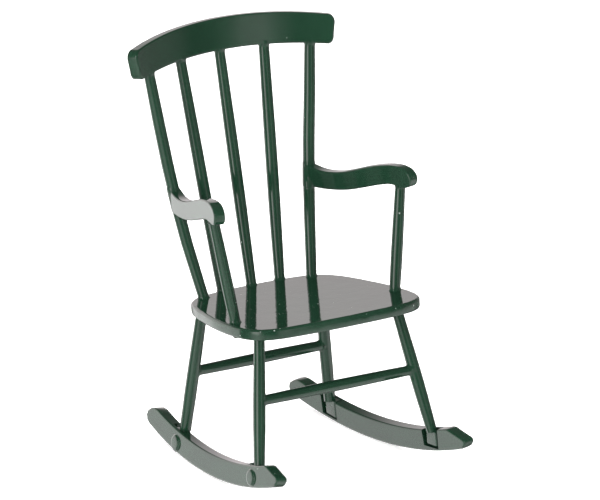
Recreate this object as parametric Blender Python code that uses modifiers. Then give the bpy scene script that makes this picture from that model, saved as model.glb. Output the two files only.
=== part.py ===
"""Miniature rocking chair for a dolls' house: painted metal, in separate pieces.

World frame: +X to the sitter's left-hand side, -Y to the front, +Z up, floor at Z = 0. The chair
stands at its own balance point, so the seat falls a little towards the back. Constants are in
millimetres; helpers turn them into metres. Every tenon runs in a hole with a small gap.
"""

import math

import bmesh
import bpy
from mathutils import Matrix, Vector

MM = 0.001
GAP = 0.3
SHIFT_Y = -3.04  # moves the finished chair so that it is centred front to back

# Seat
SEAT_T = 3.2
SEAT_TILT = 6.2
SEAT_Z = 47.15
SEAT_EDGE = 0.75
SEAT_HALF = [
    (0.0, -24.9), (8.0, -24.75), (15.0, -24.4), (20.0, -23.8), (24.0, -22.5), (26.8, -20.3),
    (28.5, -17.1), (29.2, -13.0), (29.3, -8.0), (28.9, -2.0), (28.0, 4.0), (26.9, 9.5),
    (25.8, 14.5), (24.2, 19.0), (21.6, 22.9), (17.5, 25.4), (12.0, 26.6), (6.0, 27.2),
]

# Crest rail: bent to an arc in plan, and lower at its ends than in the middle
CREST_R = 69.5
CREST_T = 3.4
CREST_H = 9.2
CREST_HALF_ARC = 34.9
CREST_TOP_DROP = 3.9
CREST_BASE_DROP = 3.25
CREST_CORNER = 2.5
CREST_END_SLANT = 0.7
CREST_EDGE = 0.55
CREST_TILT = 11.5
CREST_CENTRE = (0.0, 44.0, 113.85)

# Back: axis points where they meet the seat top and the underside of the crest rail
SPINDLE_CENTRE = [(0.0, 26.0, 44.3), (0.0, 42.95, 108.8)]
SPINDLE_SIDE = [(9.5, 26.3, 44.4), (13.7, 41.45, 108.5)]
BACK_POST = [
    (17.8, 22.6, 44.6), (20.3, 27.6, 60.0), (21.7, 30.3, 70.0), (22.5, 31.6, 76.0),
    (23.3, 32.9, 82.0), (24.95, 35.2, 95.0), (26.4, 37.45, 107.6),
]
SPINDLE_RADII = [1.47, 1.62, 1.73, 1.74, 1.7, 1.6, 1.5]
POST_RADII = [1.52, 1.64, 1.7, 1.71, 1.72, 1.68, 1.55]

# Arms
ARM_POST = [(26.3, -8.1, 48.0), (30.6, -4.0, 76.9)]
ARM_POST_RADII = [1.55, 1.66, 1.68, 1.64, 1.56, 1.46]
ARM_START = (22.05, 30.9)
ARM_END = (30.6, -4.0)
ARM_T = 3.3
ARM_EDGE = 0.45
ARM_TOP = [
    (-0.7, 75.4), (3.0, 74.9), (6.0, 74.8), (10.0, 75.3), (14.0, 76.3), (18.0, 77.7), (22.0, 79.3),
    (26.0, 80.8), (30.0, 82.0), (34.0, 82.8), (37.5, 82.9), (40.0, 82.1), (41.3, 80.4),
]
ARM_BOTTOM = [
    (41.0, 78.6), (39.6, 77.5), (37.0, 77.2), (33.5, 77.1), (30.0, 76.2), (26.0, 74.8),
    (22.0, 73.3), (18.0, 71.9), (14.0, 70.8), (10.0, 70.0), (6.5, 69.5), (4.2, 69.3), (1.9, 69.1),
]
ARM_REAR_Z = (69.0, 75.4)
ARM_NOSE_Z = 76.95  # lowest part of the arm over its post
BOSS_R = 1.85

# Rockers, drawn in their own plane: u runs to the rear, v up from the lowest point of the arc
ROCKER_T = 3.4
ROCKER_OUT = 135.5
ROCKER_IN = 129.25
ROCKER_CANT = 6.24
ROCKER_TOE = 5.57
ROCKER_ORIGIN = (29.81, 0.66, 0.37)
ROCKER_BALANCE = 10.23  # u of the point under the arc's centre, where the rocker meets the floor
ROCKER_EDGE = 0.45
POCKET_DEPTH = 2.5
POCKETS = {
    "front": [(-20.6, 11.5), (-21.5, 5.44), (-28.15, 6.04), (-28.3, 14.5)],
    "rear": [(26.3, 9.0), (25.8, 1.75), (19.3, 1.2), (19.4, 9.0)],
}
FEET = {
    "front": {"u": -24.6, "low": 6.65, "high": 10.8, "slope": -3.0, "rivet": (-25.6, 7.75)},
    "rear": {"u": 22.55, "low": 2.15, "high": 6.7, "slope": 7.0, "rivet": (21.6, 3.0)},
}
FOOT_HALF = 2.85
FOOT_FACET = 1.6  # width of the facet along the block's rear corner, and how far it falls back
FOOT_FALL = 0.8
FOOT_CHAMFER = 0.3
FOOT_DEPTH = 2.2

# Legs: axis points low and high
LEGS = {
    "front": [(28.75, -24.9, 8.8), (22.66, -15.0, 44.8)],
    "rear": [(24.25, 22.8, 4.1), (19.5, 20.8, 41.6)],
}
LEG_RADII = {
    "front": [1.48, 1.6, 1.74, 1.78, 1.73, 1.62, 1.54],
    "rear": [1.6, 1.68, 1.76, 1.77, 1.73, 1.66, 1.6],
}
STRETCHERS = {
    "front": (25.5, -19.6, 28.0),
    "rear": (21.75, 21.75, 23.8),
}
STRETCHER_RADII = [1.42, 1.52, 1.6, 1.64, 1.6, 1.52, 1.42]

TENON_R = 0.8
TENON_DEPTH = 1.2
RIVET_R = 2.4
RIVET_T = 0.4
RIVET_GAP = 0.25
SHANK_R = 0.7

PART = "miniature_rocking_chair"
SEGMENTS = 20
SIDES = (("left", -1), ("right", 1))


def vec(point):
    return Vector((point[0], point[1] + SHIFT_Y, point[2])) * MM


def mirrored(point, side):
    return (point[0] * side, point[1], point[2])


def clear_scene():
    for obj in list(bpy.data.objects):
        bpy.data.objects.remove(obj, do_unlink=True)
    for collection in list(bpy.data.collections):
        bpy.data.collections.remove(collection)


def new_collection(name, hidden=False):
    collection = bpy.data.collections.new(name)
    bpy.context.scene.collection.children.link(collection)
    collection.hide_render = hidden
    return collection


def paint(name, shade=1.0):
    """Gloss green paint, one material per piece."""
    material = bpy.data.materials.new(name)
    material.use_nodes = True
    shader = material.node_tree.nodes["Principled BSDF"]
    shader.inputs["Base Color"].default_value = (0.018 * shade, 0.058 * shade, 0.036 * shade, 1.0)
    shader.inputs["Metallic"].default_value = 0.0
    shader.inputs["Roughness"].default_value = 0.12
    shader.inputs["Coat Weight"].default_value = 0.6
    return material


def finish(obj, name):
    """Names a node, gives it its own paint and moves it into the part's collection."""
    obj.name = name
    obj.data.name = name
    obj.data.materials.clear()
    obj.data.materials.append(paint(name + "_paint"))
    for collection in list(obj.users_collection):
        collection.objects.unlink(obj)
    PIECES.objects.link(obj)
    return obj


def as_cutter(obj, name):
    obj.name = name
    obj.hide_render = True
    obj.display_type = "WIRE"
    for collection in list(obj.users_collection):
        collection.objects.unlink(obj)
    CUTTERS.objects.link(obj)
    return obj


def smooth(mesh, angle=38.0):
    mesh.polygons.foreach_set("use_smooth", [True] * len(mesh.polygons))
    mesh.set_sharp_from_angle(angle=math.radians(angle))


def solid_of(curve_object):
    """The curve as a welded mesh object at the same place; the curve itself is removed."""
    bpy.context.view_layer.update()
    graph = bpy.context.evaluated_depsgraph_get()
    mesh = bpy.data.meshes.new_from_object(curve_object.evaluated_get(graph))
    cage = bmesh.new()
    cage.from_mesh(mesh)
    bmesh.ops.remove_doubles(cage, verts=cage.verts, dist=1e-7)
    bmesh.ops.recalc_face_normals(cage, faces=cage.faces)
    cage.to_mesh(mesh)
    cage.free()
    name = curve_object.name
    place = curve_object.matrix_world.copy()
    bpy.data.objects.remove(curve_object, do_unlink=True)
    obj = bpy.data.objects.new(name, mesh)
    obj.matrix_world = place
    bpy.context.scene.collection.objects.link(obj)
    smooth(mesh)
    return obj


def round_bar(name, points, radii):
    """A bar of changing radius along a line of points in metres."""
    curve = bpy.data.curves.new(name, "CURVE")
    curve.dimensions = "3D"
    curve.bevel_depth = MM
    curve.bevel_resolution = SEGMENTS // 2 - 2
    curve.use_fill_caps = True
    spline = curve.splines.new("POLY")
    spline.points.add(len(points) - 1)
    for target, point, radius in zip(spline.points, points, radii):
        target.co = (*point, 1.0)
        target.radius = radius
    obj = bpy.data.objects.new(name, curve)
    bpy.context.scene.collection.objects.link(obj)
    return solid_of(obj)


def join_flats(mesh):
    """Makes one face of each flat side of a plate, so that its rims can be rounded evenly."""
    cage = bmesh.new()
    cage.from_mesh(mesh)
    for way in (1.0, -1.0):
        flats = [face for face in cage.faces if face.normal.z * way > 0.999]
        bmesh.ops.dissolve_faces(cage, faces=flats, use_verts=False)
    cage.to_mesh(mesh)
    cage.free()
    smooth(mesh)


def plate(name, outline, thickness, matrix, edge=0.0, smooth_outline=False, corners=()):
    """A flat outline in millimetres, thickened about its own plane, with rounded rims.

    A smooth outline is a curve through its points, sharp only at those numbered in corners.
    """
    curve = bpy.data.curves.new(name, "CURVE")
    curve.dimensions = "2D"
    curve.fill_mode = "BOTH"
    curve.extrude = thickness * MM / 2
    curve.resolution_u = 5
    kind = "BEZIER" if smooth_outline else "POLY"
    spline = curve.splines.new(kind)
    points = spline.bezier_points if smooth_outline else spline.points
    points.add(len(outline) - 1)
    for index, (target, (x, y)) in enumerate(zip(points, outline)):
        if smooth_outline:
            target.co = (x * MM, y * MM, 0.0)
            handle = "VECTOR" if index in corners else "AUTO"
            target.handle_left_type = target.handle_right_type = handle
        else:
            target.co = (x * MM, y * MM, 0.0, 1.0)
    spline.use_cyclic_u = True
    obj = bpy.data.objects.new(name, curve)
    obj.matrix_world = matrix
    bpy.context.scene.collection.objects.link(obj)
    obj = solid_of(obj)
    if edge:
        join_flats(obj.data)
        bevel = obj.modifiers.new("rims", "BEVEL")
        bevel.width = edge * MM
        bevel.segments = 3
        bevel.limit_method = "ANGLE"
        bevel.angle_limit = math.radians(50)
        bevel.use_clamp_overlap = False
    return obj


def trim(obj, planes):
    """Cuts a closed mesh off beyond each plane (point and outward normal) and closes the cut."""
    cage = bmesh.new()
    cage.from_mesh(obj.data)
    to_local = obj.matrix_world.inverted()
    for point, normal in planes:
        geometry = cage.verts[:] + cage.edges[:] + cage.faces[:]
        local_normal = (to_local.to_3x3() @ normal).normalized()
        bmesh.ops.bisect_plane(
            cage, geom=geometry, plane_co=to_local @ point, plane_no=local_normal, clear_outer=True
        )
        rim = [edge for edge in cage.edges if edge.is_boundary]
        bmesh.ops.holes_fill(cage, edges=rim)
    bmesh.ops.recalc_face_normals(cage, faces=cage.faces)
    cage.to_mesh(obj.data)
    cage.free()
    smooth(obj.data)
    return obj


def boolean(obj, other, operation, name):
    modifier = obj.modifiers.new(name, "BOOLEAN")
    modifier.operation = operation
    modifier.solver = "EXACT"
    modifier.object = other


def cut(obj, other, name):
    boolean(obj, as_cutter(other, f"{obj.name}_{name}_cutter"), "DIFFERENCE", name)


def join(obj, other, name):
    boolean(obj, as_cutter(other, f"{obj.name}_{name}_core"), "UNION", name)


def between(start, end, count):
    """Points spaced evenly from start to end."""
    return [start.lerp(end, index / (count - 1)) for index in range(count)]


def stretched(points, before, after):
    """The line of points carried on in straight line at both ends, by lengths in millimetres."""
    first = points[0] + (points[0] - points[1]).normalized() * before * MM
    last = points[-1] + (points[-1] - points[-2]).normalized() * after * MM
    return [first, *points, last]


def seat_matrix():
    tilt = Matrix.Rotation(-math.radians(SEAT_TILT), 4, "X")
    return Matrix.Translation(vec((0.0, 0.0, SEAT_Z))) @ tilt


def seat_plane(above):
    """A plane parallel to the seat, this many millimetres above its top face."""
    normal = seat_matrix().to_3x3() @ Vector((0.0, 0.0, 1.0))
    return vec((0.0, 0.0, SEAT_Z)) + normal * above * MM, normal


def crest_matrix():
    tilt = Matrix.Rotation(-math.radians(CREST_TILT), 4, "X")
    return Matrix.Translation(vec(CREST_CENTRE)) @ tilt


def crest_edges(arc):
    """Heights of the rail's lower and upper edge, this far along its arc from the middle."""
    share = (arc / CREST_HALF_ARC) ** 2
    return -CREST_H / 2 - CREST_BASE_DROP * share, CREST_H / 2 - CREST_TOP_DROP * share


def crest_underside(x, below):
    """A plane along the rail's underside at this X, some millimetres below it, normal upward."""
    turn = math.asin(x / CREST_R)
    arc = turn * CREST_R
    slope = math.atan(-2 * CREST_BASE_DROP * arc / CREST_HALF_ARC**2)
    along = Vector((math.cos(turn), -math.sin(turn), 0.0))
    normal = Vector((0.0, 0.0, math.cos(slope))) - along * math.sin(slope)
    bow = CREST_R * (1 - math.cos(turn))
    point = Vector((x, -bow, crest_edges(arc)[0])) - normal * below
    place = crest_matrix()
    return place @ (point * MM), place.to_3x3() @ normal


def arm_matrix(side):
    """Local X runs forward along the arm, local Y is up, at the middle of its thickness."""
    start = vec(mirrored((*ARM_START, 0.0), side))
    forward = (vec(mirrored((*ARM_END, 0.0), side)) - start).normalized()
    up = Vector((0.0, 0.0, 1.0))
    across = forward.cross(up)
    return Matrix.Translation(start) @ Matrix((forward, up, across)).transposed().to_4x4()


def rocker_matrix(side):
    """Local X runs to the rear, local Y up and local Z along the thickness, on the outer face."""
    toe = math.radians(ROCKER_TOE)
    cant = math.radians(ROCKER_CANT)
    rear = Vector((-math.sin(toe), math.cos(toe), 0.0))
    outward = Vector((math.cos(toe), math.sin(toe), 0.0))
    up = outward * -math.sin(cant) + Vector((0.0, 0.0, math.cos(cant)))
    rear.x *= side
    up.x *= side
    place = Matrix((rear, up, rear.cross(up))).transposed().to_4x4()
    return Matrix.Translation(vec(mirrored(ROCKER_ORIGIN, side))) @ place


def at_depth(side, depth):
    """The rocker's frame moved inwards from its outer face by this many millimetres."""
    return rocker_matrix(side) @ Matrix.Translation((0.0, 0.0, -side * depth * MM))


def bar_with_core(name, points, radii, spans, core_before, core_after):
    """A turned piece cut to shoulders at the given planes, on a thin core that forms its tenons."""
    line = stretched(points, 6.0, 6.0)
    steps = [radii[0], *radii, radii[-1]]
    piece = None
    for index, planes in enumerate(spans):
        body = trim(round_bar(f"{name}_{index}", line, steps), planes)
        if piece is None:
            piece = body
            piece.name = name
        else:
            join(piece, body, f"span{index}")
    core_line = stretched(points, core_before, core_after)
    join(piece, round_bar(f"{name}_core", core_line, [TENON_R] * len(core_line)), "tenon")
    return finish(piece, name)


def hole(obj, name, point, direction, depth, outside, radius=TENON_R + GAP):
    """A round hole along a line: depth millimetres forward of the point, outside behind it."""
    way = direction.normalized()
    ends = [point - way * outside * MM, point + way * depth * MM]
    cut(obj, round_bar(f"{obj.name}_{name}", ends, [radius, radius]), name)


def spindle_line(ends, side=1):
    start, end = (vec(mirrored(point, side)) for point in ends)
    return between(start, end, len(SPINDLE_RADII))


def back_lines():
    """Every round upright of the back: name, axis points and radii."""
    lines = [("spindle_centre", spindle_line(SPINDLE_CENTRE), SPINDLE_RADII)]
    for word, side in SIDES:
        lines.append((f"spindle_{word}", spindle_line(SPINDLE_SIDE, side), SPINDLE_RADII))
    for word, side in SIDES:
        points = [vec(mirrored(point, side)) for point in BACK_POST]
        lines.append((f"back_post_{word}", points, POST_RADII))
    return lines


def arm_post_line(side):
    start, end = (vec(mirrored(point, side)) for point in ARM_POST)
    return between(start, end, len(ARM_POST_RADII))


def leg_line(where, side):
    start, end = (vec(mirrored(point, side)) for point in LEGS[where])
    return between(start, end, len(LEG_RADII[where]))


def build_back():
    foot = seat_plane(GAP)
    up = Vector((0.0, 0.0, 1.0))
    for name, points, radii in back_lines():
        low = (foot[0], -foot[1])
        high = crest_underside(points[-1].x / MM, GAP)
        if name.startswith("back_post"):
            arm_low = (vec((0.0, 0.0, ARM_REAR_Z[0] - GAP)), up)
            arm_high = (vec((0.0, 0.0, ARM_REAR_Z[1] + GAP)), -up)
            spans = [(low, arm_low), (arm_high, high)]
        else:
            spans = [(low, high)]
        bar_with_core(name, points, radii, spans, TENON_DEPTH, 3.2)


def build_arm_posts():
    foot = seat_plane(GAP)
    for word, side in SIDES:
        points = arm_post_line(side)
        below = (vec((0.0, 0.0, ARM_NOSE_Z - GAP)), Vector((0.0, 0.0, 1.0)))
        name = f"arm_post_{word}"
        post = bar_with_core(
            name, points, ARM_POST_RADII, [((foot[0], -foot[1]), below)], SEAT_T + 0.9, 2.4
        )
        way = (points[1] - points[0]).normalized()
        end = points[0] - way * (SEAT_T + 1.2) * MM
        button = [end, end + way * 0.2 * MM, end + way * 0.5 * MM]
        join(post, round_bar(f"{name}_end", button, [0.9, 1.35, 1.45]), "peened_end")


def build_seat():
    outline = SEAT_HALF + [(0.0, 27.35)] + [(-x, y) for x, y in reversed(SEAT_HALF) if x]
    place = seat_matrix() @ Matrix.Translation((0.0, 0.0, -SEAT_T * MM / 2))
    seat = plate("seat", outline, SEAT_T, place, SEAT_EDGE, smooth_outline=True)
    for name, points, _radii in back_lines():
        hole(seat, name, points[0], points[0] - points[1], TENON_DEPTH + GAP, 3.0)
    for word, side in SIDES:
        points = arm_post_line(side)
        hole(seat, f"arm_post_{word}", points[0], points[0] - points[1], 6.0, 3.0)
        for where in LEGS:
            points = leg_line(where, side)
            top, way = leg_top(points)
            hole(seat, f"leg_{where}_{word}", top, way, TENON_DEPTH, 3.0)
    return finish(seat, "seat")


def leg_top(points):
    """Where a leg's axis meets the underside of the seat, and its upward direction."""
    way = (points[-1] - points[0]).normalized()
    origin, normal = seat_plane(-SEAT_T)
    reach = (origin - points[0]).dot(normal) / way.dot(normal)
    return points[0] + way * reach, way


def crest_ribbon():
    """The rail laid out flat: its front elevation as a row of upright quads with rounded ends."""
    flat = CREST_HALF_ARC - CREST_CORNER
    base, top = crest_edges(flat)
    cage = bmesh.new()
    rows = []
    for step in range(40):
        x = -flat + 2 * flat * step / 39
        rows.append([cage.verts.new((x * MM, 0.0, z * MM)) for z in crest_edges(x)])
    for (a, b), (c, d) in zip(rows, rows[1:]):
        cage.faces.new((a, c, d, b))
    for side, (low, high) in ((-1, rows[0]), (1, rows[-1])):
        upper, lower = [], []
        for step in range(1, 7):
            angle = math.radians(90 * step / 6)
            out, drop = math.sin(angle), CREST_CORNER * (1 - math.cos(angle))
            reach = flat + CREST_CORNER * out
            upper.append(cage.verts.new((side * reach * MM, 0.0, (top - drop) * MM)))
            reach -= CREST_END_SLANT * out
            lower.append(cage.verts.new((side * reach * MM, 0.0, (base + drop) * MM)))
        loop = [high, *upper, *reversed(lower), low]
        cage.faces.new(loop if side < 0 else loop[::-1])
    bmesh.ops.recalc_face_normals(cage, faces=cage.faces)
    mesh = bpy.data.meshes.new("crest_rail")
    cage.to_mesh(mesh)
    cage.free()
    return mesh


def build_crest():
    rail = bpy.data.objects.new("crest_rail", crest_ribbon())
    bpy.context.scene.collection.objects.link(rail)
    rail.matrix_world = crest_matrix()
    wall = rail.modifiers.new("thickness", "SOLIDIFY")
    wall.thickness = CREST_T * MM
    wall.offset = 0.0
    rims = rail.modifiers.new("rims", "BEVEL")
    rims.width = CREST_EDGE * MM
    rims.segments = 3
    rims.limit_method = "ANGLE"
    rims.angle_limit = math.radians(50)
    bow = rail.modifiers.new("bow", "SIMPLE_DEFORM")
    bow.deform_method = "BEND"
    bow.deform_axis = "Z"
    bow.angle = -2 * CREST_HALF_ARC / CREST_R
    smooth(rail.data)
    for name, points, _radii in back_lines():
        hole(rail, name, points[-1], points[-1] - points[-2], 3.2 + GAP, 4.0)
    return finish(rail, "crest_rail")


def build_arms():
    for word, side in SIDES:
        name = f"arm_{word}"
        outline = ARM_TOP + ARM_BOTTOM
        square = (0, len(outline) - 1)
        arm = plate(name, outline, ARM_T, arm_matrix(side), ARM_EDGE, True, square)
        posts = [vec(mirrored(point, side)) for point in BACK_POST]
        boss = round_bar(f"{name}_boss", posts[1:6], [BOSS_R] * 5)
        up = Vector((0.0, 0.0, 1.0))
        low = (vec((0.0, 0.0, ARM_REAR_Z[0])), -up)
        high = (vec((0.0, 0.0, ARM_REAR_Z[1])), up)
        join(arm, trim(boss, [low, high]), "boss")
        neck = round_bar(f"{name}_neck", posts[1:6], [TENON_R + GAP] * 5)
        cut(arm, neck, "neck")
        points = arm_post_line(side)
        hole(arm, "post", points[-1], points[-1] - points[-2], 2.4 + GAP, 3.0)
        finish(arm, name)


def polar(radius, angle):
    """A point of the rocker's outline, from the arc's centre, angle in degrees to the rear."""
    turn = math.radians(angle)
    return ROCKER_BALANCE + radius * math.sin(turn), ROCKER_OUT - radius * math.cos(turn)


def rocker_outline():
    top = [polar(ROCKER_IN, -19.2 + 30.2 * step / 26) for step in range(27)]
    rear = [
        polar(129.7, 11.95), polar(130.9, 12.8), polar(132.5, 13.45),
        polar(134.0, 13.5), polar(135.1, 13.1),
    ]
    base = [polar(ROCKER_OUT, 12.5 - 33.8 * step / 28) for step in range(29)]
    nose = [polar(135.2, -21.8), polar(134.4, -22.3), polar(133.6, -22.45), polar(132.9, -22.2)]
    nose += [polar(131.3, -21.05), polar(129.5, -19.75)]
    return top + rear + base + nose


def build_rockers():
    for word, side in SIDES:
        name = f"rocker_{word}"
        rocker = plate(name, rocker_outline(), ROCKER_T, at_depth(side, ROCKER_T / 2), ROCKER_EDGE)
        for where in FEET:
            depth = POCKET_DEPTH + 2.0
            place = at_depth(side, ROCKER_T - POCKET_DEPTH + depth / 2)
            pocket = plate(f"{name}_{where}", POCKETS[where], depth, place)
            cut(rocker, pocket, f"{where}_pocket")
            start, way = rivet_line(where, side)
            hole(rocker, f"{where}_rivet", start, way, 6.0, 2.0, SHANK_R + GAP)
        finish(rocker, name)


def rivet_line(where, side):
    """The point on the rocker's outer face where a rivet sits, and the way its shank points."""
    u, v = FEET[where]["rivet"]
    outer = rocker_matrix(side)
    start = outer @ Vector((u * MM, v * MM, 0.0))
    way = at_depth(side, 1.0) @ Vector((u * MM, v * MM, 0.0)) - start
    return start, way.normalized()


def foot_plan():
    """The block seen from above, from its middle: X to the rear, Y from the inner face outwards."""
    half = FOOT_HALF
    return [
        (FOOT_CHAMFER - half, 0.0), (half - FOOT_FACET, 0.0), (half, FOOT_FALL),
        (half, FOOT_DEPTH), (-half, FOOT_DEPTH), (-half, FOOT_CHAMFER),
    ]


def foot_block(name, where, side):
    """The faceted block under a leg, standing along the rocker's height."""
    foot = FEET[where]
    inner = at_depth(side, ROCKER_T)
    toward = at_depth(side, ROCKER_T - 1.0).translation - inner.translation
    along = inner.to_3x3() @ Vector((1.0, 0.0, 0.0))
    depth = toward.normalized()
    up = along.cross(depth)
    rear = 1.0
    if up.z < 0:
        along = -along
        up = -up
        rear = -1.0
    plan = [(x * rear, y) for x, y in foot_plan()]
    low, high = foot["low"] - 1.5, foot["high"] + 1.5
    middle = inner @ Vector((foot["u"] * MM, (low + high) / 2 * MM, 0.0))
    place = Matrix.Translation(middle) @ Matrix((along, depth, up)).transposed().to_4x4()
    block = plate(f"{name}_block", plan, high - low, place)
    slope = math.radians(foot["slope"])
    out = inner.to_3x3() @ Vector((math.sin(slope), -math.cos(slope), 0.0))
    sole = (inner @ Vector((foot["u"] * MM, foot["low"] * MM, 0.0)), out)
    lean = inner.to_3x3() @ Vector((0.0, 1.0, 0.0))
    lid = (inner @ Vector((foot["u"] * MM, foot["high"] * MM, 0.0)), lean)
    return trim(block, [sole, lid])


def build_legs():
    for where in LEGS:
        for word, side in SIDES:
            name = f"leg_{where}_{word}"
            points = leg_line(where, side)
            origin, normal = seat_plane(-SEAT_T - GAP)
            foot = FEET[where]
            inner = at_depth(side, ROCKER_T)
            sole = inner @ Vector((foot["u"] * MM, (foot["high"] - 0.25) * MM, 0.0))
            down = inner.to_3x3() @ Vector((0.0, -1.0, 0.0))
            line = stretched(points, 3.0, 6.0)
            radii = LEG_RADII[where]
            body = round_bar(name, line, [radii[0], *radii, radii[-1]])
            trim(body, [(sole, down), (origin, normal)])
            join(body, foot_block(name, where, side), "block")
            top, way = leg_top(points)
            core = [top - way * 4.0 * MM, top + way * (TENON_DEPTH - GAP) * MM]
            join(body, round_bar(f"{name}_core", core, [TENON_R] * 2), "tenon")
            at, across = stretcher_end(where, side)
            hole(body, "stretcher", at, -across, 4.0, 0.5, TENON_R + GAP)
            start, inward = rivet_line(where, side)
            hole(body, "rivet", start, inward, 2.6, 0.5, SHANK_R + GAP)
            finish(body, name)


def stretcher_end(where, side):
    """The point on a leg's axis that carries the stretcher, and the outward direction."""
    return vec(mirrored(STRETCHERS[where], side)), Vector((float(side), 0.0, 0.0))


def build_stretchers():
    for where in STRETCHERS:
        name = f"stretcher_{where}"
        left, right = (stretcher_end(where, side)[0] for side in (-1, 1))
        points = between(left, right, len(STRETCHER_RADII))
        bar = round_bar(name, points, STRETCHER_RADII)
        for word, side in SIDES:
            leg = stretched(leg_line(where, side), 4.0, 4.0)
            radii = [radius + GAP for radius in LEG_RADII[where]]
            cope = round_bar(f"{name}_cope", leg, [radii[0], *radii, radii[-1]])
            cut(bar, cope, f"cope_{word}")
        inset = Vector((0.6 * MM, 0.0, 0.0))
        core = round_bar(f"{name}_core", [left + inset, right - inset], [TENON_R] * 2)
        join(bar, core, "tenon")
        finish(bar, name)


def build_rivets():
    """Low round heads on the rockers' outer faces; each shank runs into its foot block."""
    for where in FEET:
        for word, side in SIDES:
            name = f"rivet_{where}_{word}"
            low, high = RIVET_GAP, RIVET_GAP + RIVET_T
            profile = [
                (0.0, high), (RIVET_R - 0.45, high), (RIVET_R - 0.18, high - 0.06),
                (RIVET_R - 0.03, high - 0.18), (RIVET_R, high - 0.28), (RIVET_R, low),
                (SHANK_R, low), (SHANK_R, -2.2), (0.0, -2.2),
            ]
            cage = bmesh.new()
            verts = [cage.verts.new((x * MM, 0.0, z * MM)) for x, z in profile]
            for one, other in zip(verts, verts[1:]):
                cage.edges.new((one, other))
            mesh = bpy.data.meshes.new(name)
            cage.to_mesh(mesh)
            cage.free()
            rivet = bpy.data.objects.new(name, mesh)
            bpy.context.scene.collection.objects.link(rivet)
            start, inward = rivet_line(where, side)
            turn = (-inward).to_track_quat("Z", "Y").to_matrix().to_4x4()
            rivet.matrix_world = Matrix.Translation(start) @ turn
            screw = rivet.modifiers.new("turned", "SCREW")
            screw.steps = screw.render_steps = 32
            screw.use_merge_vertices = True
            screw.merge_threshold = 0.00001
            screw.use_smooth_shade = True
            finish(rivet, name)


clear_scene()
PIECES = new_collection(PART)
CUTTERS = new_collection("cutters", hidden=True)
build_seat()
build_crest()
build_back()
build_arms()
build_arm_posts()
build_legs()
build_stretchers()
build_rockers()
build_rivets()
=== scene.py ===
"""Looks of the miniature rocking chair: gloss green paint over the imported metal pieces.

Every visible piece is a welded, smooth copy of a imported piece, or a fillet of paint or a rivet
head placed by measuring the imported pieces. Nothing moves: the chair has one body, "root".
World frame: +X to the viewer's right, -Y to the front, +Z up, floor at Z = 0, in metres.
"""

import math

import bmesh
import bpy
import numpy as np
from mathutils import Matrix, Vector
from mathutils.bvhtree import BVHTree


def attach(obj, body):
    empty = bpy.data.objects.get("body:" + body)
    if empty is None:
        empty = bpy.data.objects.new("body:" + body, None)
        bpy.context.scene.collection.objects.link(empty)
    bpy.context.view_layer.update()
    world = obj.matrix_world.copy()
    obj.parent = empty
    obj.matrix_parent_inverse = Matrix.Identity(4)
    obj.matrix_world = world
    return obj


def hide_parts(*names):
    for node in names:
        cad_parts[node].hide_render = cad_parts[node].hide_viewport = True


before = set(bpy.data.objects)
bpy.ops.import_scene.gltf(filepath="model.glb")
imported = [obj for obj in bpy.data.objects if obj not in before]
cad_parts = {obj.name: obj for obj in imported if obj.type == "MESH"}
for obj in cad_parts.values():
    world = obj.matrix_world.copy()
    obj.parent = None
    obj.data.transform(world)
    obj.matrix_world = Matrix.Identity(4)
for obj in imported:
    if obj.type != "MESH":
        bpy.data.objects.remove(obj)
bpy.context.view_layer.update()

MM = 0.001
BODY = "root"
SIDES = ("left", "right")
ENDS = ("front", "rear")

# Camera
CAMERA_TURN = -31.784
CAMERA_RISE = 18.854
CAMERA_DISTANCE = 3.92
CAMERA_LENS = 840.0
CAMERA_AIM = Vector((0.0, -0.00304, 0.06227))

# Paint: a gloss dark green
GREEN = (0.0058, 0.0205, 0.0112)
GREEN_DEEP = (0.0044, 0.0158, 0.0086)
DUST = (0.30, 0.33, 0.31)
PIN_HOLE = (0.004, 0.008, 0.006)
PAINT_IOR = 1.52
SEED_STEP = (0.37, 0.19, 0.53)  # how far apart, in metres, two pieces sample the same noise

# Paint detail: noise and specks in cells per metre, speck sizes in cells
DRIFT_SCALE = 55.0
FINE_SCALE = 420.0
SKIN_SCALE = 780.0
RIPPLE_SCALE = 190.0
NIB_SCALE, NIB_SIZE = 480.0, 0.13
HOLE_SCALE, HOLE_SIZE = 420.0, 0.12
LEAST_ROUGH, FINE_ROUGH, NIB_ROUGH = 0.035, 0.05, 0.25
RIPPLE_HEIGHT, NIB_HEIGHT, HOLE_HEIGHT = 2.2, 3.5, -4.5
BUMP_STRENGTH = 0.5
BUMP_DISTANCE = 0.000016  # in metres

# Edges sharper than this, in degrees, stay sharp on skins and on fillets and rivet heads
SKIN_CREASE = 36.0
RING_CREASE = 50.0
WELD_DISTANCE = 1e-7

# Cross-section of a paint fillet: how far outside the bar, and how far short of the other
# piece's surface, in millimetres
FILLET = [
    (-0.05, 0.78), (0.012, 0.62), (0.035, 0.44), (0.075, 0.29), (0.13, 0.16), (0.21, 0.06),
    (0.30, -0.01), (0.30, -0.12), (-0.35, -0.12), (-0.35, 0.78),
]
FILLET_STEPS = 28

# Measuring the bars, in millimetres
BAR_REACH = 4.0  # a bar's own outline lies this near the point where it is cut
TIP_SLICE = 0.3  # the slice that counts as a bar's end
AXIS_STEP = 2.5  # distance between the two cuts that give a bar's direction
TARGET_REACH = 14.0  # how far a bar looks for the piece it runs into
HIT_SPREAD = 1.6  # a hit further than this from the middle one has missed the piece
SHOULDER_VERTS = 16  # a level ring of a post has at least this many corners

# How far in from a bar's end its fillet is measured, in millimetres
SEAT_INSET = 4.5
CREST_INSET = 6.0
ARM_POST_FOOT_INSET = 8.0
ARM_POST_HEAD_INSET = 5.5
STRETCHER_INSET = 5.0
ARM_CUTS = (2.0, 4.5)  # the two cuts beyond a back post's shoulder
ARM_SPREAD = 0.5  # the fillets at the arms are narrower

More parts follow.
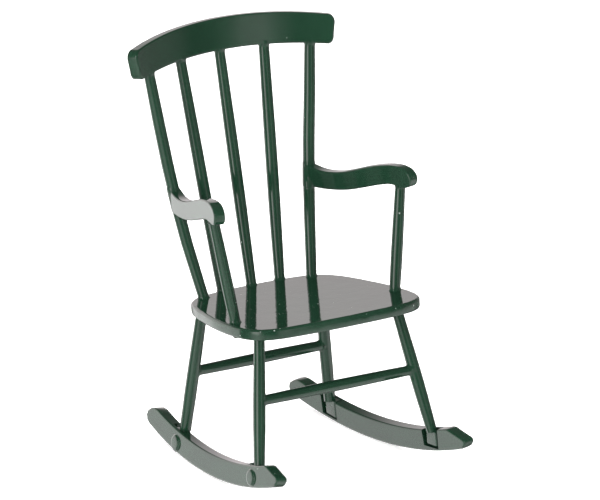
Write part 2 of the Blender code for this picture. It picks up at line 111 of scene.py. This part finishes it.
# Rivet head: radius and height above its seat on the rocker, in millimetres
RIVET_PROFILE = [
    (0.0, 0.62), (1.45, 0.62), (1.80, 0.60), (2.02, 0.54), (2.17, 0.44), (2.25, 0.30),
    (2.30, 0.16), (2.42, 0.05), (2.56, 0.0), (2.56, -0.12), (0.0, -0.12),
]
RIVET_STEPS = 40
RIVET_CROWN = 0.63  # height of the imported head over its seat
CROWN_SLICE = 0.05  # the slice that counts as its crown

# Studio. The rings give brightness by azimuth in degrees, 0 straight in front and 90 to the
# right: LOW_RING round the horizon, BELOW_RING under it and HIGH_RING overhead. Each band is
# the height of a direction at which one ring starts and ends giving way to the next.
STUDIO_TINT = (1.05, 0.965, 0.985)
BELOW_TINT = (1.01, 0.985, 0.99)
RING_SCALE = 10.0  # ramp colours stay under 1, so the rings are stored divided by this
BELOW_BAND = (-0.22, -0.10)
HIGH_BAND = (0.18, 0.55)
LOW_RING = [
    (-180, 2.1), (-160, 1.85), (-137, 1.85), (-128, 0.20), (-116, 0.10), (-104, 0.15),
    (-95, 0.6), (-86, 2.2), (-80, 3.6), (-66, 3.6), (-54, 1.0), (-44, 0.3), (-30, 0.08),
    (-8, 0.05), (0, 0.45), (8, 1.0), (18, 0.85), (26, 0.30), (34, 0.12), (46, 0.08),
    (54, 0.30), (62, 0.40), (70, 0.40), (135, 0.45), (146, 1.0), (160, 1.1), (180, 2.1),
]
BELOW_RING = [
    (-180, 2.0), (-170, 2.2), (-160, 1.80), (-137, 1.9), (-128, 0.25), (-116, 0.15),
    (-104, 0.3), (-95, 0.6), (-84, 1.2), (-66, 1.6), (-54, 1.2), (-44, 1.0), (-30, 0.8),
    (0, 0.8), (20, 1.1), (32, 1.5), (50, 1.6), (72, 1.5), (90, 0.5), (135, 0.25),
    (165, 0.30), (176, 1.2), (180, 2.0),
]
HIGH_RING = [(-180, 0.15), (-60, 0.12), (0, 0.10), (60, 0.12), (180, 0.15)]
BACKDROP = (0.98, 0.98, 0.98, 1.0)

FLOOR_SIZE = 8.0
FLOOR_GLOW = 0.45
FLOOR_PALE, FLOOR_PALER = (0.87, 0.87, 0.865), (0.9, 0.9, 0.895)

LAMP_DISTANCE = 1.2
# Name, azimuth, height angle, width in metres, power in watts, and whether the gloss shows it
LAMPS = [
    ("key_left", -62.0, 38.0, 0.16, 2.0, True),
    ("soft_top", 120.0, 86.0, 1.60, 27.0, False),
    ("soft_left", -75.0, 8.0, 0.80, 30.0, False),
    ("soft_front", -5.0, 14.0, 0.80, 17.0, False),
]

# Filled while the skins are made: a search tree and the visible skin of each painted node
TREES, SKINS = {}, {}


# Materials ---------------------------------------------------------------------------------


class Graph:
    """A small helper that adds nodes to a tree and links them. Input i0 is the first socket."""

    def __init__(self, tree):
        self.tree = tree

    def add(self, kind, settings=None, **inputs):
        node = self.tree.nodes.new(kind)
        for name, value in (settings or {}).items():
            setattr(node, name, value)
        for name, value in inputs.items():
            socket = node.inputs[int(name[1:])] if name[1:].isdigit() else node.inputs[name]
            if isinstance(value, bpy.types.NodeSocket):
                self.tree.links.new(value, socket)
            else:
                socket.default_value = value
        return node

    def link(self, output, socket):
        self.tree.links.new(output, socket)

    def math(self, operation, a, b=0.0, c=0.0):
        return self.add("ShaderNodeMath", {"operation": operation}, i0=a, i1=b, i2=c).outputs[0]

    def ramp(self, factor, stops):
        node = self.add("ShaderNodeValToRGB", None, i0=factor)
        elements = node.color_ramp.elements
        while len(elements) > 1:
            elements.remove(elements[-1])
        for index, (place, value) in enumerate(stops):
            element = elements[0] if index == 0 else elements.new(place)
            element.position = place
            shade = value if isinstance(value, tuple) else (value, value, value)
            element.color = (*shade, 1.0)
        return node.outputs["Color"]

    def mix(self, factor, a, b):
        node = self.add("ShaderNodeMix", {"data_type": "RGBA"}, i0=factor)
        for socket, value in ((node.inputs[6], a), (node.inputs[7], b)):
            if isinstance(value, bpy.types.NodeSocket):
                self.link(value, socket)
            else:
                socket.default_value = (*value, 1.0)
        return node.outputs[2]

    def noise(self, where, scale, detail=2.0, roughness=0.5):
        node = self.add("ShaderNodeTexNoise", None, Vector=where, Scale=scale)
        node.inputs["Detail"].default_value = detail
        node.inputs["Roughness"].default_value = roughness
        return node.outputs["Fac"]

    def specks(self, where, scale, size, share):
        """Small round dots: 1 inside a dot, 0 outside. Size is in cells, share the part kept."""
        cells = self.add("ShaderNodeTexVoronoi", None, Vector=where, Scale=scale)
        parts = self.add("ShaderNodeSeparateColor", None, i0=cells.outputs["Color"])
        kept = self.math("LESS_THAN", parts.outputs[0], share)
        reach = self.math("MULTIPLY_ADD", parts.outputs[1], size * 0.7, size * 0.3)
        near = self.math("DIVIDE", cells.outputs["Distance"], reach)
        dot = self.math("SUBTRACT", 1.0, self.math("POWER", near, 3.0))
        clamped = self.add("ShaderNodeClamp", None, i0=dot).outputs[0]
        return self.math("MULTIPLY", clamped, kept)


def gloss_paint(name, seed, peel=1.0, dust=0.05, pits=0.05):
    """Thick gloss paint: soft colour drift, orange peel, dust nibs and a few pin-holes."""
    material = bpy.data.materials.new(name)
    material.use_nodes = True
    graph = Graph(material.node_tree)
    shader = material.node_tree.nodes["Principled BSDF"]
    place = graph.add("ShaderNodeTexCoord").outputs["Object"]
    moved = graph.add("ShaderNodeMapping", None, Vector=place)
    moved.inputs["Location"].default_value = tuple(step * seed for step in SEED_STEP)
    where = moved.outputs["Vector"]

    drift = graph.noise(where, DRIFT_SCALE, 3.0, 0.55)
    fine = graph.noise(where, FINE_SCALE, 2.0, 0.6)
    tone = graph.ramp(drift, [(0.32, 0.0), (0.68, 1.0)])
    colour = graph.mix(tone, GREEN_DEEP, GREEN)
    nibs = graph.specks(where, NIB_SCALE, NIB_SIZE, dust)
    holes = graph.specks(where, HOLE_SCALE, HOLE_SIZE, pits)
    colour = graph.mix(graph.math("MULTIPLY", nibs, 0.55), colour, DUST)
    colour = graph.mix(graph.math("MULTIPLY", holes, 0.8), colour, PIN_HOLE)
    graph.link(colour, shader.inputs["Base Color"])

    rough = graph.math("MULTIPLY_ADD", fine, FINE_ROUGH, LEAST_ROUGH)
    rough = graph.math("MULTIPLY_ADD", nibs, NIB_ROUGH, rough)
    graph.link(rough, shader.inputs["Roughness"])
    shader.inputs["IOR"].default_value = PAINT_IOR
    shader.inputs["Metallic"].default_value = 0.0

    skin = graph.noise(where, SKIN_SCALE, 1.5, 0.45)
    ripple = graph.noise(where, RIPPLE_SCALE, 1.0, 0.4)
    height = graph.math("MULTIPLY_ADD", ripple, RIPPLE_HEIGHT, skin)
    height = graph.math("MULTIPLY_ADD", nibs, NIB_HEIGHT, height)
    height = graph.math("MULTIPLY_ADD", holes, HOLE_HEIGHT, height)
    bump = graph.add("ShaderNodeBump", None, Height=height)
    bump.inputs["Strength"].default_value = BUMP_STRENGTH
    bump.inputs["Distance"].default_value = BUMP_DISTANCE * peel
    graph.link(bump.outputs["Normal"], shader.inputs["Normal"])
    return material


def pale_floor():
    """A matt, nearly white studio floor that gives off a little light."""
    material = bpy.data.materials.new("pale_floor")
    material.use_nodes = True
    graph = Graph(material.node_tree)
    shader = material.node_tree.nodes["Principled BSDF"]
    place = graph.add("ShaderNodeTexCoord").outputs["Object"]
    cloud = graph.noise(place, 3.0, 2.0)
    graph.link(graph.mix(cloud, FLOOR_PALE, FLOOR_PALER), shader.inputs["Base Color"])
    shader.inputs["Roughness"].default_value = 0.9
    shader.inputs["Emission Color"].default_value = (1.0, 1.0, 1.0, 1.0)
    shader.inputs["Emission Strength"].default_value = FLOOR_GLOW
    shader.inputs["Specular IOR Level"].default_value = 0.1
    return material


# Pieces ------------------------------------------------------------------------------------


def show(obj, material):
    """Gives a visible piece its material and its body."""
    obj.data.materials.clear()
    obj.data.materials.append(material)
    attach(obj, BODY)


def new_object(name, cage):
    mesh = bpy.data.meshes.new(name)
    cage.to_mesh(mesh)
    cage.free()
    obj = bpy.data.objects.new(name, mesh)
    bpy.context.scene.collection.objects.link(obj)
    return obj


def smooth(obj, angle):
    """Shades a piece smooth, with edges over this angle in degrees left sharp."""
    mesh = obj.data
    mesh.polygons.foreach_set("use_smooth", [True] * len(mesh.polygons))
    mesh.set_sharp_from_angle(angle=math.radians(angle))
    normals = obj.modifiers.new("even_normals", "WEIGHTED_NORMAL")
    normals.keep_sharp = True
    normals.weight = 80


def welded(node):
    """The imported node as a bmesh, its loose triangles joined into one skin."""
    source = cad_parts[node].data
    cage = bmesh.new()
    verts = [cage.verts.new(vertex.co) for vertex in source.vertices]
    for polygon in source.polygons:
        cage.faces.new([verts[index] for index in polygon.vertices])
    bmesh.ops.remove_doubles(cage, verts=cage.verts, dist=WELD_DISTANCE)
    bmesh.ops.recalc_face_normals(cage, faces=cage.faces)
    return cage


def painted(node, seed, **finish):
    """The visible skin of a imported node."""
    obj = new_object(f"{node}_skin", welded(node))
    smooth(obj, SKIN_CREASE)
    show(obj, gloss_paint(f"{node}_gloss", seed, **finish))
    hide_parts(node)
    TREES[node] = BVHTree.FromObject(obj, bpy.context.evaluated_depsgraph_get())
    SKINS[node] = obj


def crossings(node, point, way):
    """Where the edges of a skin cross the plane through a point."""
    mesh = SKINS[node].data
    coords = np.array([vertex.co for vertex in mesh.vertices])
    pairs = np.array([edge.vertices for edge in mesh.edges])
    height = (coords - np.array(point)) @ np.array(way)
    a, b = height[pairs[:, 0]], height[pairs[:, 1]]
    crossing = (a * b) < 0
    share = (a / (a - b + 1e-30))[crossing][:, None]
    ends = pairs[crossing]
    return coords[ends[:, 0]] * (1 - share) + coords[ends[:, 1]] * share


def section(node, point, way):
    """Centre and radius of a round bar where the plane through a point cuts it."""
    hits = crossings(node, point, way)
    hits = hits[np.linalg.norm(hits - np.array(point), axis=1) < BAR_REACH * MM]
    side = way.orthogonal().normalized()
    over = way.cross(side)
    flat = (hits - np.array(point)) @ np.array([side, over]).T
    system = np.column_stack([2 * flat, np.ones(len(flat))])
    x, y, rest = np.linalg.lstsq(system, (flat**2).sum(1), rcond=None)[0]
    centre = Vector(point) + side * float(x) + over * float(y)
    return centre, math.sqrt(rest + x * x + y * y)


def axis_point(node, height):
    """The middle of an upright bar at this height."""
    hits = crossings(node, Vector((0.0, 0.0, height)), Vector((0.0, 0.0, 1.0)))
    return Vector((hits.max(0) + hits.min(0)) / 2)


def shoulders(bar):
    """Heights of the two level shoulders of a back post, below and above the arm."""
    heights = np.round([vertex.co.z / MM for vertex in SKINS[bar].data.vertices], 2)
    values, counts = np.unique(heights, return_counts=True)
    level = values[counts >= SHOULDER_VERTS] * MM
    return level.min(), level.max()


def bar_end(node, top, inset):
    """The middle and the outward direction of a bar, this many millimetres in from its end."""
    coords = np.array([vertex.co for vertex in SKINS[node].data.vertices])
    centre = coords.mean(0)
    axis = Vector(np.linalg.svd(coords - centre, full_matrices=False)[2][0])
    if (axis.z if abs(axis.z) > 0.5 else axis.x) * (1 if top else -1) < 0:
        axis = -axis
    along = (coords - centre) @ np.array(axis)
    tip = Vector(coords[along > along.max() - TIP_SLICE * MM].mean(0))
    near, _radius = section(node, tip - axis * inset * MM, axis)
    far, _radius = section(node, near - axis * AXIS_STEP * MM, axis)
    way = (near - far).normalized()
    return near, way


def fillet(name, bar, target, near, way, spread=1.0):
    """A closed ring of paint around a bar, drawn out onto the piece that the bar runs into."""
    centre, radius = section(bar, near, way)
    side = way.orthogonal().normalized()
    over = way.cross(side)
    reach = {}
    for index, (out, _lift) in enumerate(FILLET):
        for step in range(FILLET_STEPS):
            turn = 2 * math.pi * step / FILLET_STEPS
            out_way = side * math.cos(turn) + over * math.sin(turn)
            start = centre + out_way * (radius + max(out, 0.0) * spread * MM)
            hit = TREES[target].ray_cast(start, way, TARGET_REACH * MM)[3]
            reach[index, step] = (start, out_way, hit)
    found = sorted(hit for _start, _way, hit in reach.values() if hit is not None)
    middle = found[len(found) // 2]
    cage = bmesh.new()
    rings = []
    for index, (out, lift) in enumerate(FILLET):
        ring = []
        for step in range(FILLET_STEPS):
            start, out_way, hit = reach[index, step]
            hit = middle if hit is None or abs(hit - middle) > HIT_SPREAD * MM else hit
            inner = out_way * min(out, 0.0) * MM
            ring.append(cage.verts.new(start + inner + way * (hit - lift * MM)))
        rings.append(ring)
    for ring, other in zip(rings, rings[1:] + rings[:1]):
        for step in range(FILLET_STEPS):
            follow = (step + 1) % FILLET_STEPS
            cage.faces.new((ring[step], ring[follow], other[follow], other[step]))
    bmesh.ops.recalc_face_normals(cage, faces=cage.faces)
    obj = new_object(name, cage)
    smooth(obj, RING_CREASE)
    show(obj, SKINS[bar].data.materials[0])


def arm_fillet(name, bar, arm, above):
    """The fillet on one side of an arm where a back post passes through it."""
    side = 1 if above else -1
    edge = shoulders(bar)[1 if above else 0]
    near, far = (axis_point(bar, edge + side * cut * MM) for cut in ARM_CUTS)
    fillet(name, bar, arm, near, (near - far).normalized(), ARM_SPREAD)


def rivet_head(node, seed):
    """A low, flat-topped rivet head with a soft rim, seated on the rocker's outer face."""
    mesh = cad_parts[node].data
    spread = np.zeros((3, 3))
    for polygon in mesh.polygons:
        normal = np.array(polygon.normal)
        spread += polygon.area * np.outer(normal, normal)
    axis = Vector(np.linalg.eigh(spread)[1][:, -1])
    if axis.x * (1 if node.endswith("right") else -1) < 0:
        axis = -axis
    coords = np.array([vertex.co for vertex in mesh.vertices])
    along = coords @ np.array(axis)
    rim = coords[along > along.max() - CROWN_SLICE * MM]
    crown = Vector((rim.max(0) + rim.min(0)) / 2)
    seat = crown - axis * RIVET_CROWN * MM
    place = Matrix.Translation(seat) @ axis.to_track_quat("Z", "Y").to_matrix().to_4x4()
    cage = bmesh.new()
    rings = []
    for radius, height in RIVET_PROFILE:
        if radius == 0.0:
            rings.append([cage.verts.new(place @ Vector((0, 0, height * MM)))])
            continue
        ring = []
        for step in range(RIVET_STEPS):
            turn = 2 * math.pi * step / RIVET_STEPS
            local = Vector((radius * math.cos(turn), radius * math.sin(turn), height)) * MM
            ring.append(cage.verts.new(place @ local))
        rings.append(ring)
    for ring, other in zip(rings, rings[1:]):
        for step in range(RIVET_STEPS):
            follow = (step + 1) % RIVET_STEPS
            corners = [ring[step % len(ring)], ring[follow % len(ring)]]
            corners += [other[follow % len(other)], other[step % len(other)]]
            cage.faces.new(list(dict.fromkeys(corners)))
    bmesh.ops.recalc_face_normals(cage, faces=cage.faces)
    obj = new_object(f"{node}_head", cage)
    smooth(obj, RING_CREASE)
    show(obj, gloss_paint(f"{node}_gloss", seed))
    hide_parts(node)


# The studio --------------------------------------------------------------------------------


def direction_at(azimuth, height):
    """The direction at this azimuth and height angle, both in degrees."""
    turn, lift = math.radians(azimuth), math.radians(height)
    level = math.cos(lift)
    return Vector((math.sin(turn) * level, -math.cos(turn) * level, math.sin(lift)))


def build_world():
    """A studio seen in the gloss: bright sweep behind, lamps at the left, dim room in front."""
    world = bpy.data.worlds.new("studio")
    bpy.context.scene.world = world
    world.use_nodes = True
    graph = Graph(world.node_tree)
    background = world.node_tree.nodes["Background"]
    direction = graph.add("ShaderNodeTexCoord").outputs["Generated"]
    parts = graph.add("ShaderNodeSeparateXYZ", None, i0=direction).outputs
    front = graph.math("MULTIPLY", parts["Y"], -1.0)
    azimuth = graph.math("ARCTAN2", parts["X"], front)
    turn = graph.math("MULTIPLY_ADD", azimuth, 0.5 / math.pi, 0.5)

    def around(stops):
        """A ring's brightness in the direction seen."""
        places = [((azimuth_deg + 180) / 360, light / RING_SCALE) for azimuth_deg, light in stops]
        return graph.ramp(turn, places)

    def rise(start, end):
        """0 under the first height, 1 over the second, and smooth between them."""
        kind = {"interpolation_type": "SMOOTHSTEP"}
        step = graph.add("ShaderNodeMapRange", kind, Value=parts["Z"])
        step.inputs["From Min"].default_value = start
        step.inputs["From Max"].default_value = end
        return step.outputs[0]

    level = graph.mix(rise(*BELOW_BAND), around(BELOW_RING), around(LOW_RING))
    level = graph.mix(rise(*HIGH_BAND), level, around(HIGH_RING))
    tint = graph.mix(rise(*BELOW_BAND), BELOW_TINT, STUDIO_TINT)
    kind = {"data_type": "RGBA", "blend_type": "MULTIPLY"}
    tinted = graph.add("ShaderNodeMix", kind, i0=1.0)
    graph.link(level, tinted.inputs[6])
    graph.link(tint, tinted.inputs[7])
    graph.link(tinted.outputs[2], background.inputs["Color"])
    background.inputs["Strength"].default_value = RING_SCALE
    # The camera itself sees a plain backdrop
    plain = graph.add("ShaderNodeBackground", None, Color=BACKDROP)
    rays = graph.add("ShaderNodeLightPath")
    both = graph.add("ShaderNodeMixShader", None, i0=rays.outputs["Is Camera Ray"])
    graph.link(background.outputs[0], both.inputs[1])
    graph.link(plain.outputs[0], both.inputs[2])
    graph.link(both.outputs[0], world.node_tree.nodes["World Output"].inputs["Surface"])


def build_floor():
    bpy.ops.mesh.primitive_grid_add(x_subdivisions=4, y_subdivisions=4, size=FLOOR_SIZE)
    floor = bpy.context.object
    floor.name = "floor"
    floor.data.materials.append(pale_floor())
    floor.visible_glossy = False


def build_lights():
    for name, azimuth, rise, size, power, shown in LAMPS:
        way = direction_at(azimuth, rise)
        data = bpy.data.lights.new(name, "AREA")
        data.shape = "DISK"
        data.size = size
        data.energy = power
        lamp = bpy.data.objects.new(name, data)
        lamp.location = CAMERA_AIM + way * LAMP_DISTANCE
        lamp.rotation_mode = "QUATERNION"
        lamp.rotation_quaternion = way.to_track_quat("Z", "Y")
        lamp.visible_glossy = shown
        bpy.context.scene.collection.objects.link(lamp)


def build_camera():
    back = direction_at(CAMERA_TURN, CAMERA_RISE)
    data = bpy.data.cameras.new("camera")
    data.lens = CAMERA_LENS
    data.clip_start, data.clip_end = 0.1, 20.0
    camera = bpy.data.objects.new("camera", data)
    camera.location = CAMERA_AIM + back * CAMERA_DISTANCE
    camera.rotation_mode = "QUATERNION"
    camera.rotation_quaternion = (-back).to_track_quat("-Z", "Y")
    bpy.context.scene.collection.objects.link(camera)
    bpy.context.scene.camera = camera


# Build -------------------------------------------------------------------------------------

RIVETS = [f"rivet_{end}_{side}" for end in ENDS for side in SIDES]
for number, node_name in enumerate(sorted(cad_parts)):
    if node_name in RIVETS:
        rivet_head(node_name, number)
    elif node_name == "seat":
        painted(node_name, number, peel=1.2, dust=0.40, pits=0.40)
    elif node_name.startswith(("rocker", "arm_l", "arm_r")):
        painted(node_name, number, peel=0.6)
    else:
        painted(node_name, number)

for word in ("centre", *SIDES):
    bar = f"spindle_{word}"
    fillet(f"{bar}_foot_paint", bar, "seat", *bar_end(bar, False, SEAT_INSET))
    fillet(f"{bar}_head_paint", bar, "crest_rail", *bar_end(bar, True, CREST_INSET))
for word in SIDES:
    bar = f"back_post_{word}"
    fillet(f"{bar}_foot_paint", bar, "seat", *bar_end(bar, False, SEAT_INSET))
    fillet(f"{bar}_head_paint", bar, "crest_rail", *bar_end(bar, True, CREST_INSET))
    arm_fillet(f"{bar}_over_arm_paint", bar, f"arm_{word}", True)
    arm_fillet(f"{bar}_under_arm_paint", bar, f"arm_{word}", False)
    bar = f"arm_post_{word}"
    fillet(f"{bar}_foot_paint", bar, "seat", *bar_end(bar, False, ARM_POST_FOOT_INSET))
    fillet(f"{bar}_head_paint", bar, f"arm_{word}", *bar_end(bar, True, ARM_POST_HEAD_INSET))
    for end in ENDS:
        bar = f"leg_{end}_{word}"
        fillet(f"{bar}_head_paint", bar, "seat", *bar_end(bar, True, SEAT_INSET))
        rail = f"stretcher_{end}"
        at_end = bar_end(rail, word == "right", STRETCHER_INSET)
        fillet(f"{rail}_{word}_paint", rail, bar, *at_end)

build_world()
build_floor()
build_lights()
build_camera()
bpy.context.scene.view_settings.view_transform = "Standard"
